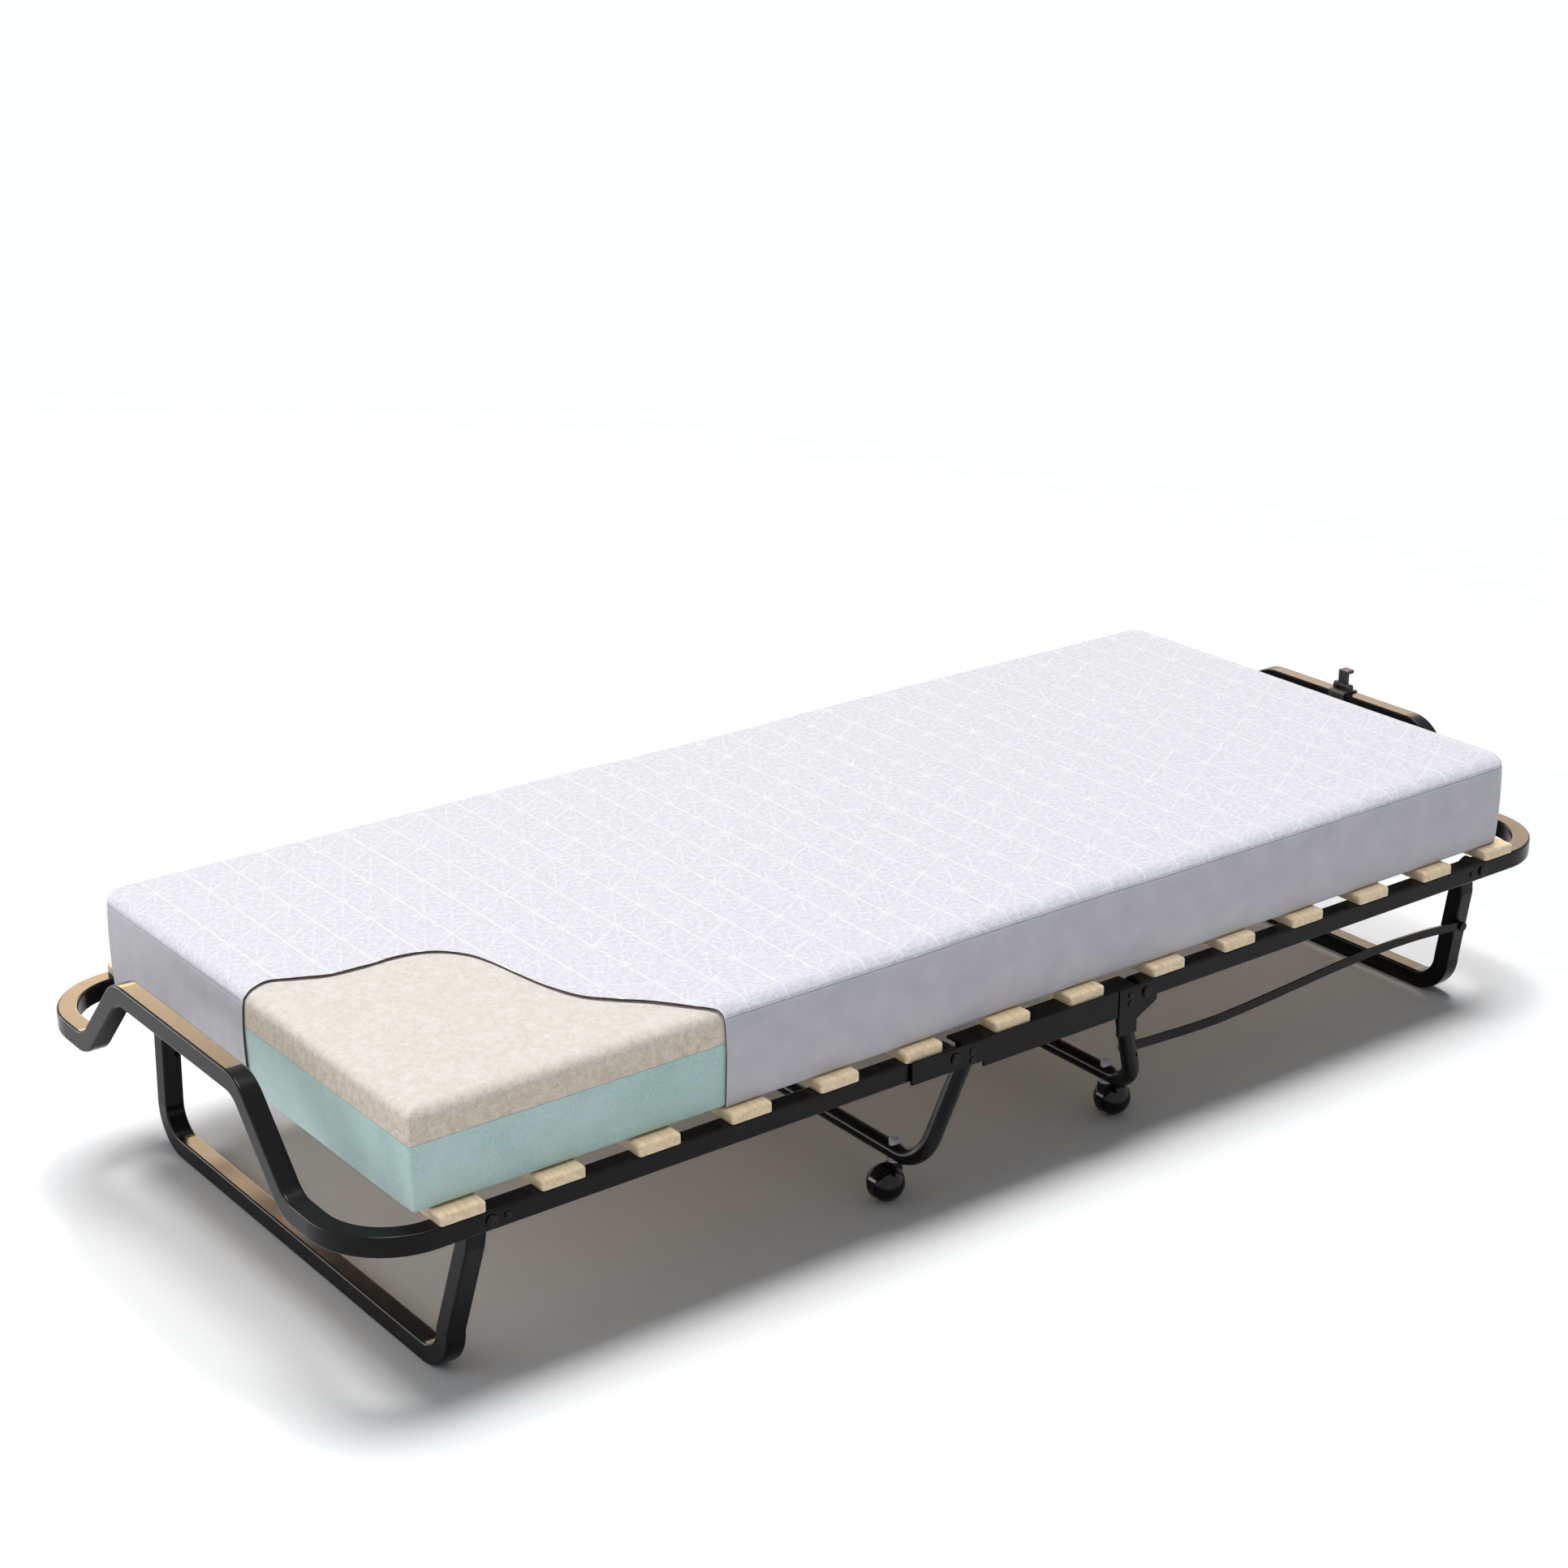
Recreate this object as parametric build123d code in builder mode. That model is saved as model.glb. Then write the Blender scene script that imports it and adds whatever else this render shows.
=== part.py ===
"""Rollaway folding cot: two tube frame halves that fold up on a wheeled centre section, wooden slats,
U-shaped end legs led by link rods, and a two-layer foam mattress in a zipped cover."""

import os
from math import radians, tan

from build123d import *

os.makedirs("parts", exist_ok=True)

# Millimetres. Origin on the floor under the middle of the bed, X along the bed, Z up.

# Frame halves
BED_LENGTH = 1900
BED_WIDTH = 800
RAIL_TOP = 225
TUBE = 25
TUBE_WALL = 1.5
TUBE_EDGE = 3
CORNER_RADIUS = 100
HUMP_RISE = 105
HUMP_TOP_HALF = 148
HUMP_FOOT_HALF = 246
HUMP_BEND = 45

# Slats and their end caps
SLATS_PER_HALF = 6
CENTRE_PITCH = 120
SLAT_FROM_PIVOT = 43
SLAT_FROM_END = 130
SLAT_WIDTH = 50
SLAT_THICK = 8
CAP_WIDTH = 56
CAP_LENGTH = 46
CAP_HEIGHT = 13
CAP_ROUND = 4
CAP_SOCKET = 30
SLAT_SLIP = 0.1

# Mattress
HEAD_GAP = 50
FOOT_GAP = 78
NEAR_GAP = 13
FAR_GAP = 55
BASE_FOAM = 78
MEMORY_FOAM = 43
COVER = 2
MATTRESS_ROUND = 14
MATTRESS_CORNER = 24
SEGMENT_GAP = 0.4
HINGE_SETBACK = 30

# Edge of the cover where its corner is laid open, seen from above, measured from the near corner at -X
OPENING_EDGE = [
    (-4, 352),
    (90, 338),
    (180, 338),
    (238, 317),
    (266, 257),
    (282, 160),
    (322, 92),
    (366, 25),
    (404, -4),
]

# Centre section
FOLD_GAP = 3.5
PLATE = 3
LAP_THICK = 4.5
PLATE_REACH = 66
PLATE_LAP = 27.5
PLATE_DROP = 36
PLATE_HALF = 109
GUSSET_DROP = 62
GUSSET_REACH = 18
FLANGE_WIDTH = 31
NOSE_GAP = 2.5
SIDE_GAP = 0.5

# Caster legs
LEG_TUBE_RADIUS = 11
LEG_TUBE_WALL = 1.5
CASTER_LEG_TOP_X = 128
CASTER_LEG_FOOT_X = 174
CASTER_LEG_STUB = 25
RIVET_SHARES = (0.3, 0.75)
CASTER_LEG_INSET = 20
CASTER_LEG_BEND = 45
CASTER_FROM_CORNER = 50

# Ball casters
BALL_RADIUS = 24
CASTER_TRAIL = 13
HOOD_WIDTH = 13
HOOD_WALL = 2.5
WHEEL_GAP = 0.6
HOOD_RISE = 2
AXLE_RADIUS = 3.5
STEM_RADIUS = 5
SOCKET_RADIUS = 7
SOCKET_LIP = 2
SOCKET_CROWN = 6

# End legs
LEG_PIVOT_FROM_END = 163
LEG_LEAN = 7
LEG_CONVERGE = 25
LEG_BEND = 45
TAB_THICK = 6
SHOULDER_DROP = 18
SHOULDER_HEIGHT = 26

# Fasteners
BOLT_RADIUS = 4
BOLT_HEAD_RADIUS = 7
BOLT_HEAD = 3
NUT_RADIUS = 6.5
NUT = 5
RIVET_SPACING = 20
RUNNING_FIT = 0.05
RIVET_RADIUS = 2.5
RIVET_HEAD_RADIUS = 4.5
RIVET_HEAD = 1.6

# Link rods
ROD_DROP = 94
ROD_OFFSET = -6
ROD_HEIGHT = 12
ROD_THICK = 3
ROD_LEAD = 80
ROD_JOG = 80
ROD_DIP = 6
ROD_DIP_SHARE = 0.16
ROD_RISE = 9
ROD_RISE_SHARE = 0.66
PIN_RADIUS = 3

# Latch on one hump
LATCH_WIDTH = 30
LATCH_WALL = 3
LATCH_PIN_RADIUS = 2.5
HOOK_LENGTH = 24
HOOK_LIP = 12
HOOK_WIDTH = 16

# Places worked out from the sizes above
BORE = TUBE - 2 * TUBE_WALL
BORE_EDGE = TUBE_EDGE - TUBE_WALL
HALF_LENGTH = BED_LENGTH / 2
HALF_WIDTH = BED_WIDTH / 2
RAIL_Z = RAIL_TOP - TUBE / 2
RAIL_Y = HALF_WIDTH - TUBE / 2
END_X = HALF_LENGTH - TUBE / 2
HUMP_Z = RAIL_Z + HUMP_RISE
MATTRESS_LENGTH = BED_LENGTH - 2 * TUBE - HEAD_GAP - FOOT_GAP
MATTRESS_WIDTH = BED_WIDTH - NEAR_GAP - FAR_GAP
MATTRESS_SHIFT_X = (HEAD_GAP - FOOT_GAP) / 2
MATTRESS_SHIFT_Y = (NEAR_GAP - FAR_GAP) / 2
MATTRESS_THICK = BASE_FOAM + MEMORY_FOAM + 2 * COVER
MATTRESS_Z = RAIL_TOP + CAP_HEIGHT
PIVOT_X = TUBE / 2 + CAP_HEIGHT + MATTRESS_THICK + FOLD_GAP
SEGMENT_X = PIVOT_X + HINGE_SETBACK
LEG_PIVOT_X = HALF_LENGTH - LEG_PIVOT_FROM_END
SLAT_Z = RAIL_TOP + CAP_HEIGHT / 2
SLAT_LENGTH = BED_WIDTH - 2 * (CAP_LENGTH - CAP_SOCKET)


def finish(part, name):
    part.label = name
    export_step(part, f"parts/{name}.step")


def turned(part):
    """The same piece on the other end of the bed, turned half round about the upright axis."""
    return part.rotate(Axis.Z, 180)


def bent_square_tube(points, radii, x_dir):
    """Square tube swept along straight runs joined by bends."""
    with BuildPart() as tube:
        with BuildLine() as route:
            FilletPolyline(*points, radius=radii)
        with BuildSketch(Plane(origin=route.line @ 0, x_dir=x_dir, z_dir=route.line % 0)):
            RectangleRounded(TUBE, TUBE, TUBE_EDGE)
            RectangleRounded(BORE, BORE, BORE_EDGE, mode=Mode.SUBTRACT)
        sweep(path=route.line)
    return tube.part


def side_plane(x, y, z):
    """Plane on the near side whose normal points in, across the bed."""
    return Plane(origin=(x, y, z), x_dir=(1, 0, 0), z_dir=(0, 1, 0))


def bolt(x, z, seat_y, grip):
    """Domed bolt with a nut, put in from the near side: seat_y is under the head, grip is up to the nut."""
    with BuildPart() as fastener:
        with BuildSketch(side_plane(x, seat_y - BOLT_HEAD, z)):
            Circle(BOLT_HEAD_RADIUS)
        extrude(amount=BOLT_HEAD)
        fillet(fastener.edges().sort_by(Axis.Y)[0], BOLT_HEAD / 2)
        with BuildSketch(side_plane(x, seat_y, z)):
            Circle(BOLT_RADIUS)
        extrude(amount=grip + NUT)
        with BuildSketch(side_plane(x, seat_y + grip, z)):
            RegularPolygon(NUT_RADIUS, 6)
        extrude(amount=NUT)
    return fastener.part


def rivet(x, z, seat_y, grip):
    """Domed rivet through sheet and tube wall from the near side."""
    with BuildPart() as fastener:
        with BuildSketch(side_plane(x, seat_y - RIVET_HEAD, z)):
            Circle(RIVET_HEAD_RADIUS)
        extrude(amount=RIVET_HEAD)
        fillet(fastener.edges().sort_by(Axis.Y)[0], RIVET_HEAD / 2)
        with BuildSketch(side_plane(x, seat_y, z)):
            Circle(RIVET_RADIUS)
        extrude(amount=grip)
    return fastener.part


# Frame half at the +X end: rails, bent corners and the raised hump that stops the mattress
RAIL_NOSE_X = PIVOT_X - TUBE / 2
LEG_RIVET_X = LEG_PIVOT_X - RIVET_SPACING
frame_points = [
    (RAIL_NOSE_X, -RAIL_Y, RAIL_Z),
    (END_X, -RAIL_Y, RAIL_Z),
    (END_X, -HUMP_FOOT_HALF, RAIL_Z),
    (END_X, -HUMP_TOP_HALF, HUMP_Z),
    (END_X, HUMP_TOP_HALF, HUMP_Z),
    (END_X, HUMP_FOOT_HALF, RAIL_Z),
    (END_X, RAIL_Y, RAIL_Z),
    (RAIL_NOSE_X, RAIL_Y, RAIL_Z),
]
corner_bend = CORNER_RADIUS - TUBE / 2
frame_bends = [corner_bend, HUMP_BEND, HUMP_BEND, HUMP_BEND, HUMP_BEND, corner_bend]
with BuildPart() as frame:
    add(bent_square_tube(frame_points, frame_bends, (0, 1, 0)))
    with BuildSketch(Plane.XZ):
        with Locations(((PIVOT_X + RAIL_NOSE_X) / 2, RAIL_Z)):
            Rectangle(TUBE / 2, TUBE)
        with Locations((PIVOT_X, RAIL_Z)):
            Circle(TUBE / 2, mode=Mode.SUBTRACT)
    extrude(amount=BED_WIDTH, both=True, mode=Mode.SUBTRACT)
    with BuildSketch(Plane.XZ):
        with Locations((PIVOT_X, RAIL_Z), (LEG_PIVOT_X, RAIL_Z)):
            Circle(BOLT_RADIUS + RUNNING_FIT)
        with Locations((LEG_RIVET_X, RAIL_Z)):
            Circle(RIVET_RADIUS + RUNNING_FIT)
    extrude(amount=BED_WIDTH, both=True, mode=Mode.SUBTRACT)
finish(frame.part, "right_frame")
finish(turned(frame.part), "left_frame")

# Leg bolts: the leg swings on a bolt, with a rivet beside it that ends flush inside the rail
with BuildPart() as leg_bolts:
    add(bolt(LEG_PIVOT_X, RAIL_Z, -HALF_WIDTH, TUBE + SIDE_GAP + TAB_THICK + SIDE_GAP))
    add(rivet(LEG_RIVET_X, RAIL_Z, -HALF_WIDTH, TUBE))
    mirror(about=Plane.XZ)
finish(leg_bolts.part, "right_leg_bolts")
finish(turned(leg_bolts.part), "left_leg_bolts")


def end_cap(x):
    """Rounded socket on the rail that holds one slat end, on the near side."""
    with BuildPart() as cap:
        with Locations((x, -HALF_WIDTH + CAP_LENGTH / 2, SLAT_Z)):
            Box(CAP_WIDTH, CAP_LENGTH, CAP_HEIGHT)
        top = cap.faces().sort_by(Axis.Z)[-1]
        outer = cap.faces().sort_by(Axis.Y)[0]
        fillet((top.edges() + outer.edges().filter_by(Axis.Z)), CAP_ROUND)
        with Locations((x, -HALF_WIDTH + CAP_LENGTH - CAP_SOCKET / 2, SLAT_Z)):
            Box(SLAT_WIDTH + 2 * SLAT_SLIP, CAP_SOCKET, SLAT_THICK + 2 * SLAT_SLIP, mode=Mode.SUBTRACT)
    return cap.part


def slat(x):
    """One sprung wooden slat across the bed."""
    with BuildPart() as board:
        with Locations((x, 0, SLAT_Z)):
            Box(SLAT_WIDTH, SLAT_LENGTH, SLAT_THICK)
        fillet(board.edges().filter_by(Axis.Y), SLAT_THICK / 4)
    return board.part


def caps_at(places):
    """A pair of end caps for each slat."""
    with BuildPart() as caps:
        for x in places:
            add(end_cap(x))
        mirror(about=Plane.XZ)
    return caps.part


centre_slat = CENTRE_PITCH / 2
first_slat = PIVOT_X + SLAT_FROM_PIVOT
slat_pitch = (HALF_LENGTH - SLAT_FROM_END - first_slat) / (SLATS_PER_HALF - 1)
half_slats = [first_slat + slat_pitch * step for step in range(SLATS_PER_HALF)]
for number, place in enumerate(half_slats, start=1):
    board = slat(place)
    finish(board, f"right_slat_{number}")
    finish(turned(board), f"left_slat_{number}")
half_caps = caps_at(half_slats)
finish(half_caps, "right_slat_caps")
finish(turned(half_caps), "left_slat_caps")
finish(slat(centre_slat), "center_slat_right")
finish(slat(-centre_slat), "center_slat_left")
finish(caps_at([-centre_slat, centre_slat]), "center_slat_caps")

# Side plate of the centre section: web, doublers that lap the rails, hanging gusset, flange for the caps
WEB_Y = -(HALF_WIDTH + SIDE_GAP)
FLANGE_HALF = PIVOT_X - TUBE / 2 - NOSE_GAP
plate_left = -(PIVOT_X + PLATE_REACH)
plate_right = PIVOT_X + GUSSET_REACH
gusset_inner = CASTER_LEG_TOP_X + LEG_TUBE_RADIUS
lap_bottom = RAIL_TOP - PLATE_LAP
web_bottom = RAIL_TOP - PLATE_DROP
gusset_bottom = RAIL_TOP - GUSSET_DROP
gusset_mid = (lap_bottom + gusset_bottom) / 2
lap_left = [
    (plate_left, lap_bottom),
    (-PLATE_HALF, lap_bottom),
    (-PLATE_HALF, RAIL_TOP),
    (plate_left, RAIL_TOP),
]
web = [
    (-PLATE_HALF, web_bottom),
    (PLATE_HALF, web_bottom),
    (PLATE_HALF, RAIL_TOP),
    (-PLATE_HALF, RAIL_TOP),
]
gusset = [
    (PLATE_HALF, gusset_bottom),
    (gusset_inner, gusset_bottom),
    (gusset_inner, gusset_mid),
    (plate_right, lap_bottom),
    (plate_right, RAIL_TOP),
    (PLATE_HALF, RAIL_TOP),
]
stub_y = WEB_Y + SIDE_GAP + LEG_TUBE_RADIUS
rivet_rows = [RAIL_TOP - PLATE - CASTER_LEG_STUB * share for share in RIVET_SHARES]
with BuildPart() as plate:
    for outline, thick in ((lap_left, LAP_THICK), (web, PLATE), (gusset, LAP_THICK)):
        with BuildSketch(Plane.XZ.offset(-WEB_Y)):
            with BuildLine():
                Polyline(*outline, close=True)
            make_face()
        extrude(amount=thick)
    with Locations((0, WEB_Y, RAIL_TOP)):
        Box(2 * FLANGE_HALF, FLANGE_WIDTH, PLATE, align=(Align.CENTER, Align.MIN, Align.MAX))
    with BuildSketch(Plane.XZ.offset(-WEB_Y)):
        with Locations((-PIVOT_X, RAIL_Z), (PIVOT_X, RAIL_Z)):
            Circle(BOLT_RADIUS + RUNNING_FIT)
        with Locations(*[(side * CASTER_LEG_TOP_X, row) for side in (-1, 1) for row in rivet_rows]):
            Circle(RIVET_RADIUS + RUNNING_FIT)
    extrude(amount=2 * LAP_THICK, mode=Mode.SUBTRACT)
finish(plate.part, "center_plate_near")
finish(turned(plate.part), "center_plate_far")

# Fold pivot bolts through plate and rail
lap_face = WEB_Y - LAP_THICK
with BuildPart() as fold_bolts:
    for x in (-PIVOT_X, PIVOT_X):
        add(bolt(x, RAIL_Z, lap_face, -RAIL_Y + TUBE / 2 + SIDE_GAP - lap_face))
    mirror(about=Plane.XZ)
finish(fold_bolts.part, "fold_pivot_bolts")

# U-shaped caster leg at the +X side of the centre section
CROSSBAR_Z = 2 * BALL_RADIUS + HOOD_RISE + SOCKET_LIP + LEG_TUBE_RADIUS
stub_top = RAIL_TOP - PLATE
stub_bottom = stub_top - CASTER_LEG_STUB
foot_y = -stub_y - CASTER_LEG_INSET
STEM_Y = foot_y - CASTER_FROM_CORNER
caster_leg_points = [
    (CASTER_LEG_TOP_X, stub_y, stub_top),
    (CASTER_LEG_TOP_X, stub_y, stub_bottom),
    (CASTER_LEG_FOOT_X, -foot_y, CROSSBAR_Z),
    (CASTER_LEG_FOOT_X, foot_y, CROSSBAR_Z),
    (CASTER_LEG_TOP_X, -stub_y, stub_bottom),
    (CASTER_LEG_TOP_X, -stub_y, stub_top),
]
caster_leg_bends = [LEG_TUBE_RADIUS * 2, CASTER_LEG_BEND, CASTER_LEG_BEND, LEG_TUBE_RADIUS * 2]
rod_pin_x = PIVOT_X - ROD_OFFSET
rod_pin_z = RAIL_Z - ROD_DROP
with BuildPart() as caster_leg:
    with BuildLine() as leg_route:
        FilletPolyline(*caster_leg_points, radius=caster_leg_bends)
    with BuildSketch(Plane(origin=leg_route.line @ 0, x_dir=(1, 0, 0), z_dir=leg_route.line % 0)):
        Circle(LEG_TUBE_RADIUS)
        Circle(LEG_TUBE_RADIUS - LEG_TUBE_WALL, mode=Mode.SUBTRACT)
    sweep(path=leg_route.line)
    with Locations((CASTER_LEG_FOOT_X, -STEM_Y, CROSSBAR_Z), (CASTER_LEG_FOOT_X, STEM_Y, CROSSBAR_Z)):
        Cylinder(SOCKET_RADIUS + RUNNING_FIT, 3 * LEG_TUBE_RADIUS, mode=Mode.SUBTRACT)
    with BuildSketch(Plane.XZ):
        with Locations(*[(CASTER_LEG_TOP_X, row) for row in rivet_rows]):
            Circle(RIVET_RADIUS + RUNNING_FIT)
    extrude(amount=BED_WIDTH, both=True, mode=Mode.SUBTRACT)
    with BuildSketch(Plane.XZ):
        with Locations((rod_pin_x, rod_pin_z)):
            Circle(PIN_RADIUS + RUNNING_FIT)
    extrude(amount=HALF_WIDTH, mode=Mode.SUBTRACT)
finish(caster_leg.part, "right_caster_leg")
finish(turned(caster_leg.part), "left_caster_leg")

# Rivets that hold the caster legs to the plates
with BuildPart() as leg_rivets:
    for side in (-1, 1):
        for row in rivet_rows:
            add(rivet(side * CASTER_LEG_TOP_X, row, lap_face, stub_y - LEG_TUBE_RADIUS / 2 - lap_face))
    mirror(about=Plane.XZ)
finish(leg_rivets.part, "caster_leg_rivets")

# Plastic sockets in the crossbars that grip the caster stems
socket_top = CROSSBAR_Z + LEG_TUBE_RADIUS + SOCKET_CROWN
socket_bottom = CROSSBAR_Z - LEG_TUBE_RADIUS - SOCKET_LIP
caster_places = [(x, y) for x in (-CASTER_LEG_FOOT_X, CASTER_LEG_FOOT_X) for y in (-STEM_Y, STEM_Y)]
with BuildPart() as sockets:
    for x, y in caster_places:
        with BuildSketch(Plane.XY.offset(socket_bottom)):
            with Locations((x, y)):
                Circle(SOCKET_RADIUS + SOCKET_LIP)
        extrude(amount=SOCKET_LIP - RUNNING_FIT)
        with BuildSketch(Plane.XY.offset(socket_bottom)):
            with Locations((x, y)):
                Circle(SOCKET_RADIUS)
        extrude(amount=socket_top - socket_bottom)
    chamfer(sockets.edges().group_by(Axis.Z)[-1], SOCKET_LIP)
    with BuildSketch(Plane.XY.offset(socket_bottom)):
        with Locations(*caster_places):
            Circle(STEM_RADIUS + RUNNING_FIT)
    extrude(amount=socket_top - socket_bottom - SOCKET_LIP, mode=Mode.SUBTRACT)
finish(sockets.part, "caster_sockets")


def caster(number, x, y):
    """Ball caster: stem, hood and a pair of half-ball wheels on one axle, trailing outwards."""
    ball_x = x + (CASTER_TRAIL if x > 0 else -CASTER_TRAIL)
    hood_top = socket_bottom - HOOD_RISE / 2
    stem_bottom = BALL_RADIUS + BALL_RADIUS / 2
    with BuildPart() as stem:
        with BuildSketch(Plane.XY.offset(stem_bottom)):
            with Locations((x, y)):
                Circle(STEM_RADIUS)
        extrude(amount=socket_top - 2 * SOCKET_LIP - stem_bottom)
        chamfer(stem.edges().group_by(Axis.Z)[-1], STEM_RADIUS / 4)
    finish(stem.part, f"caster_stem_{number}")
    with BuildPart() as hood:
        with BuildSketch(Plane.XZ.offset(-y)):
            with Locations((ball_x, BALL_RADIUS)):
                Circle(BALL_RADIUS - WHEEL_GAP)
            with Locations((x, (stem_bottom + hood_top) / 2)):
                Rectangle(2 * (STEM_RADIUS + HOOD_WALL), hood_top - stem_bottom)
            with Locations((ball_x, BALL_RADIUS / 4)):
                Rectangle(3 * BALL_RADIUS, BALL_RADIUS / 2, mode=Mode.SUBTRACT)
        extrude(amount=HOOD_WIDTH / 2, both=True)
        with BuildSketch(Plane.XY.offset(stem_bottom)):
            with Locations((x, y)):
                Circle(STEM_RADIUS + RUNNING_FIT)
        extrude(amount=hood_top, mode=Mode.SUBTRACT)
        with BuildSketch(Plane.XZ.offset(-y)):
            with Locations((ball_x, BALL_RADIUS)):
                Circle(AXLE_RADIUS + RUNNING_FIT)
        extrude(amount=HOOD_WIDTH, both=True, mode=Mode.SUBTRACT)
    finish(hood.part, f"caster_hood_{number}")
    ball_plane = Plane(origin=(ball_x, y, BALL_RADIUS), x_dir=(0, 1, 0), z_dir=(1, 0, 0))
    with BuildPart() as wheels:
        with BuildSketch(ball_plane):
            Circle(BALL_RADIUS)
            with Locations((0, -BALL_RADIUS)):
                Rectangle(2 * BALL_RADIUS, 2 * BALL_RADIUS, mode=Mode.SUBTRACT)
            with Locations((0, AXLE_RADIUS + BALL_RADIUS)):
                Rectangle(HOOD_WIDTH + 2 * WHEEL_GAP, 2 * BALL_RADIUS, mode=Mode.SUBTRACT)
        revolve(axis=Axis((ball_x, y, BALL_RADIUS), (0, 1, 0)))
    finish(wheels.part, f"caster_wheels_{number}")


for number, (x, y) in enumerate(caster_places, start=1):
    caster(number, x, y)

# U-shaped end leg at the +X end: level crossbar, leaning arms, flattened tabs on the pivot bolts
LEAN = tan(radians(LEG_LEAN))
FOOT_Z = TUBE / 2
BEND_TOP = FOOT_Z + LEG_BEND
shoulder_top = RAIL_Z - SHOULDER_DROP
arm_top = shoulder_top - SHOULDER_HEIGHT
tab_y = -(HALF_WIDTH - TUBE - SIDE_GAP)
arm_y = tab_y + TUBE / 2
foot_leg_y = arm_y + LEG_CONVERGE


def lean_x(z):
    return LEG_PIVOT_X + (RAIL_Z - z) * LEAN


FOOT_X = lean_x(BEND_TOP)
leg_points = [
    (FOOT_X, foot_leg_y, BEND_TOP),
    (FOOT_X, foot_leg_y, FOOT_Z),
    (FOOT_X, -foot_leg_y, FOOT_Z),
    (FOOT_X, -foot_leg_y, BEND_TOP),
]
rod_leg_x = LEG_PIVOT_X - ROD_OFFSET
arm_run = Vector(lean_x(arm_top) - FOOT_X, arm_y - foot_leg_y, arm_top - BEND_TOP)
with BuildPart() as end_leg:
    with BuildSketch(Plane((FOOT_X, foot_leg_y, BEND_TOP))):
        RectangleRounded(TUBE, TUBE, TUBE_EDGE)
        RectangleRounded(BORE, BORE, BORE_EDGE, mode=Mode.SUBTRACT)
    extrude(amount=arm_run.length, dir=arm_run)
    with BuildSketch(Plane((lean_x(arm_top), arm_y, arm_top))):
        RectangleRounded(TUBE, TUBE, TUBE_EDGE)
    with BuildSketch(Plane((lean_x(shoulder_top), tab_y + TAB_THICK / 2, shoulder_top))):
        RectangleRounded(TUBE, TAB_THICK, TAB_THICK / 3)
    loft()
    with BuildSketch(Plane.XZ.offset(-tab_y)):
        with Locations((LEG_PIVOT_X, RAIL_Z)):
            Circle(TUBE / 2 - SIDE_GAP)
        with Locations((lean_x(shoulder_top), shoulder_top)):
            Rectangle(TUBE - 2 * TAB_THICK / 3, SIDE_GAP)
        make_hull()
    extrude(amount=-TAB_THICK)
    with BuildSketch(Plane.XZ.offset(-tab_y + TAB_THICK)):
        with Locations((LEG_PIVOT_X, RAIL_Z)):
            Circle(BOLT_RADIUS + RUNNING_FIT)
    extrude(amount=-3 * TAB_THICK, mode=Mode.SUBTRACT)
    mirror(about=Plane.XZ)
    add(bent_square_tube(leg_points, LEG_BEND - SIDE_GAP, (1, 0, 0)))
    with BuildSketch(Plane.XZ):
        with Locations((rod_leg_x, rod_pin_z)):
            Circle(PIN_RADIUS + RUNNING_FIT)
    extrude(amount=HALF_WIDTH, mode=Mode.SUBTRACT)
finish(end_leg.part, "right_end_leg")
finish(turned(end_leg.part), "left_end_leg")

# Link rod on the near side, from the caster leg to the end leg: a jog inwards, and a lazy S seen from the side
arm_drop = (arm_top - rod_pin_z) / (arm_top - BEND_TOP)
leg_face_y = tab_y + LEG_CONVERGE * arm_drop - ROD_HEIGHT * LEG_CONVERGE / (arm_top - BEND_TOP)
rod_leg_y = leg_face_y - SIDE_GAP
caster_drop = (stub_bottom - rod_pin_z) / (stub_bottom - CROSSBAR_Z)
caster_face_y = stub_y + CASTER_LEG_INSET * caster_drop + LEG_TUBE_RADIUS + 2 * SIDE_GAP
rod_caster_y = caster_face_y + ROD_THICK
rod_run = [
    (rod_pin_x, rod_caster_y),
    (rod_pin_x + ROD_LEAD, rod_caster_y),
    (rod_pin_x + ROD_LEAD + ROD_JOG, rod_leg_y),
    (rod_leg_x, rod_leg_y),
]
rod_span = rod_leg_x - rod_pin_x
rod_waves = [
    (rod_pin_x, rod_pin_z),
    (rod_pin_x + rod_span * ROD_DIP_SHARE, rod_pin_z - ROD_DIP),
    (rod_pin_x + rod_span * ROD_RISE_SHARE, rod_pin_z + ROD_RISE),
    (rod_leg_x, rod_pin_z),
]
with BuildPart() as rod:
    with BuildSketch(Plane.XY.offset(rod_pin_z - ROD_LEAD)):
        with BuildLine():
            Polyline(*rod_run, *[(x, y - ROD_THICK) for x, y in reversed(rod_run)], close=True)
        make_face()
    extrude(amount=2 * ROD_LEAD)
    with BuildSketch(Plane.XZ):
        with BuildLine():
            upper = Spline(*[(x, z + ROD_HEIGHT / 2) for x, z in rod_waves])
            lower = Spline(*[(x, z - ROD_HEIGHT / 2) for x, z in rod_waves])
            Line(upper @ 0, lower @ 0)
            Line(upper @ 1, lower @ 1)
        make_face()
    extrude(amount=BED_WIDTH, mode=Mode.INTERSECT)
    for x, y in (rod_run[0], rod_run[-1]):
        with BuildSketch(side_plane(x, y - ROD_THICK, rod_pin_z)):
            Circle(ROD_HEIGHT / 2)
        extrude(amount=ROD_THICK)
        with BuildSketch(side_plane(x, y - ROD_THICK, rod_pin_z)):
            Circle(PIN_RADIUS + RUNNING_FIT)
        extrude(amount=ROD_THICK, mode=Mode.SUBTRACT)
finish(rod.part, "right_link_rod")
finish(turned(rod.part), "left_link_rod")

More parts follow.
